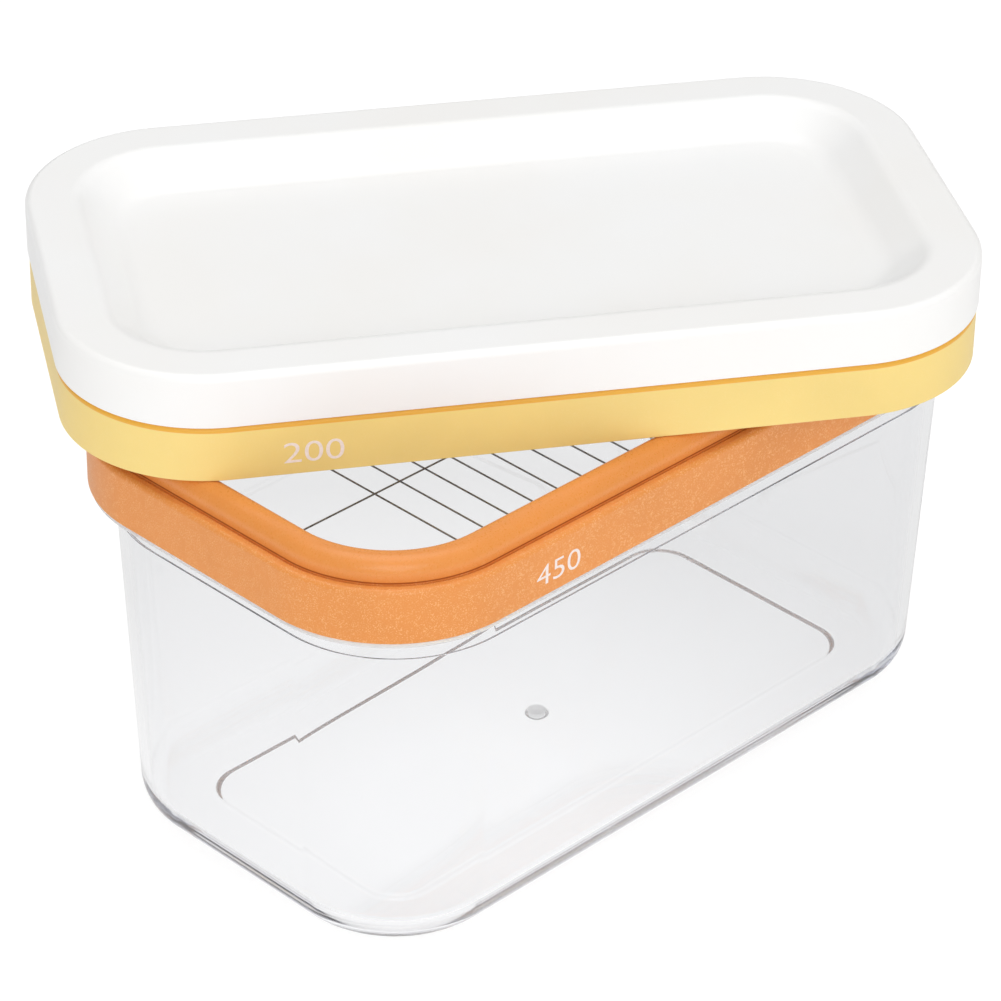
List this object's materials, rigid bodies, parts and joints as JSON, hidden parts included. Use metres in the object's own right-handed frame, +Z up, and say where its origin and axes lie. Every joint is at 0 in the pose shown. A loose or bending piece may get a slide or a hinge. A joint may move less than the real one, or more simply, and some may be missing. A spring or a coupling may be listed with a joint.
{
  "type": "wire butter slicer",
  "caption": "Clear butter storage box with stacking orange and yellow cutter frames strung with steel wire nets, under a white dished lid.",
  "frame": {"origin": "centre of the box's foot, on the plane it stands on", "axes": "+X along the box's long side, +Y across it, +Z up"},
  "size_m": [0.1744, 0.1522, 0.1097],
  "materials": {
    "clear_box": "clear moulded plastic, polished",
    "orange_frame": "orange moulded plastic, fine speckle, satin bead",
    "orange_clamp": "orange moulded plastic, smooth",
    "yellow_frame": "yellow moulded plastic, satin",
    "yellow_clamp": "yellow moulded plastic, smooth",
    "white_lid": "white moulded plastic, satin",
    "steel_wire": "drawn stainless steel wire"
  },
  "bodies": {
    "container": {"container": "clear_box"},
    "large_cutter": {"large_frame": "orange_frame", "large_wire_clamp": "orange_clamp", "large_cross_wire_01": "steel_wire", "large_cross_wire_02": "steel_wire", "large_cross_wire_03": "steel_wire", "large_cross_wire_04": "steel_wire", "large_cross_wire_05": "steel_wire", "large_cross_wire_06": "steel_wire", "large_cross_wire_07": "steel_wire", "large_cross_wire_08": "steel_wire", "large_cross_wire_09": "steel_wire", "large_cross_wire_10": "steel_wire", "large_cross_wire_11": "steel_wire", "large_cross_wire_12": "steel_wire", "large_cross_wire_13": "steel_wire", "large_cross_wire_14": "steel_wire", "large_cross_wire_15": "steel_wire", "large_cross_wire_16": "steel_wire", "large_cross_wire_17": "steel_wire", "large_cross_wire_18": "steel_wire", "large_long_wire_1": "steel_wire", "large_long_wire_2": "steel_wire"},
    "small_cutter": {"small_frame": "yellow_frame", "small_wire_clamp": "yellow_clamp", "small_cross_wire_01": "steel_wire", "small_cross_wire_02": "steel_wire", "small_cross_wire_03": "steel_wire", "small_cross_wire_04": "steel_wire", "small_cross_wire_05": "steel_wire", "small_cross_wire_06": "steel_wire", "small_cross_wire_07": "steel_wire", "small_cross_wire_08": "steel_wire", "small_cross_wire_09": "steel_wire", "small_cross_wire_10": "steel_wire", "small_cross_wire_11": "steel_wire", "small_cross_wire_12": "steel_wire", "small_cross_wire_13": "steel_wire", "small_cross_wire_14": "steel_wire", "small_cross_wire_15": "steel_wire", "small_cross_wire_16": "steel_wire", "small_cross_wire_17": "steel_wire", "small_cross_wire_18": "steel_wire", "small_cross_wire_19": "steel_wire", "small_long_wire_1": "steel_wire"},
    "lid": {"lid": "white_lid"}
  },
  "joints": [
    {"name": "large_cutter_lift", "type": "slide", "parent": "container", "child": "large_cutter", "axis": [0, 0, 1], "range_m": [0, 0.08]},
    {"name": "small_cutter_lift", "type": "slide", "parent": "large_cutter", "child": "small_cutter", "axis": [0, 0, 1], "range_m": [0, 0.06]},
    {"name": "lid_lift", "type": "slide", "parent": "small_cutter", "child": "lid", "axis": [0, 0, 1], "range_m": [0, 0.06]}
  ]
}
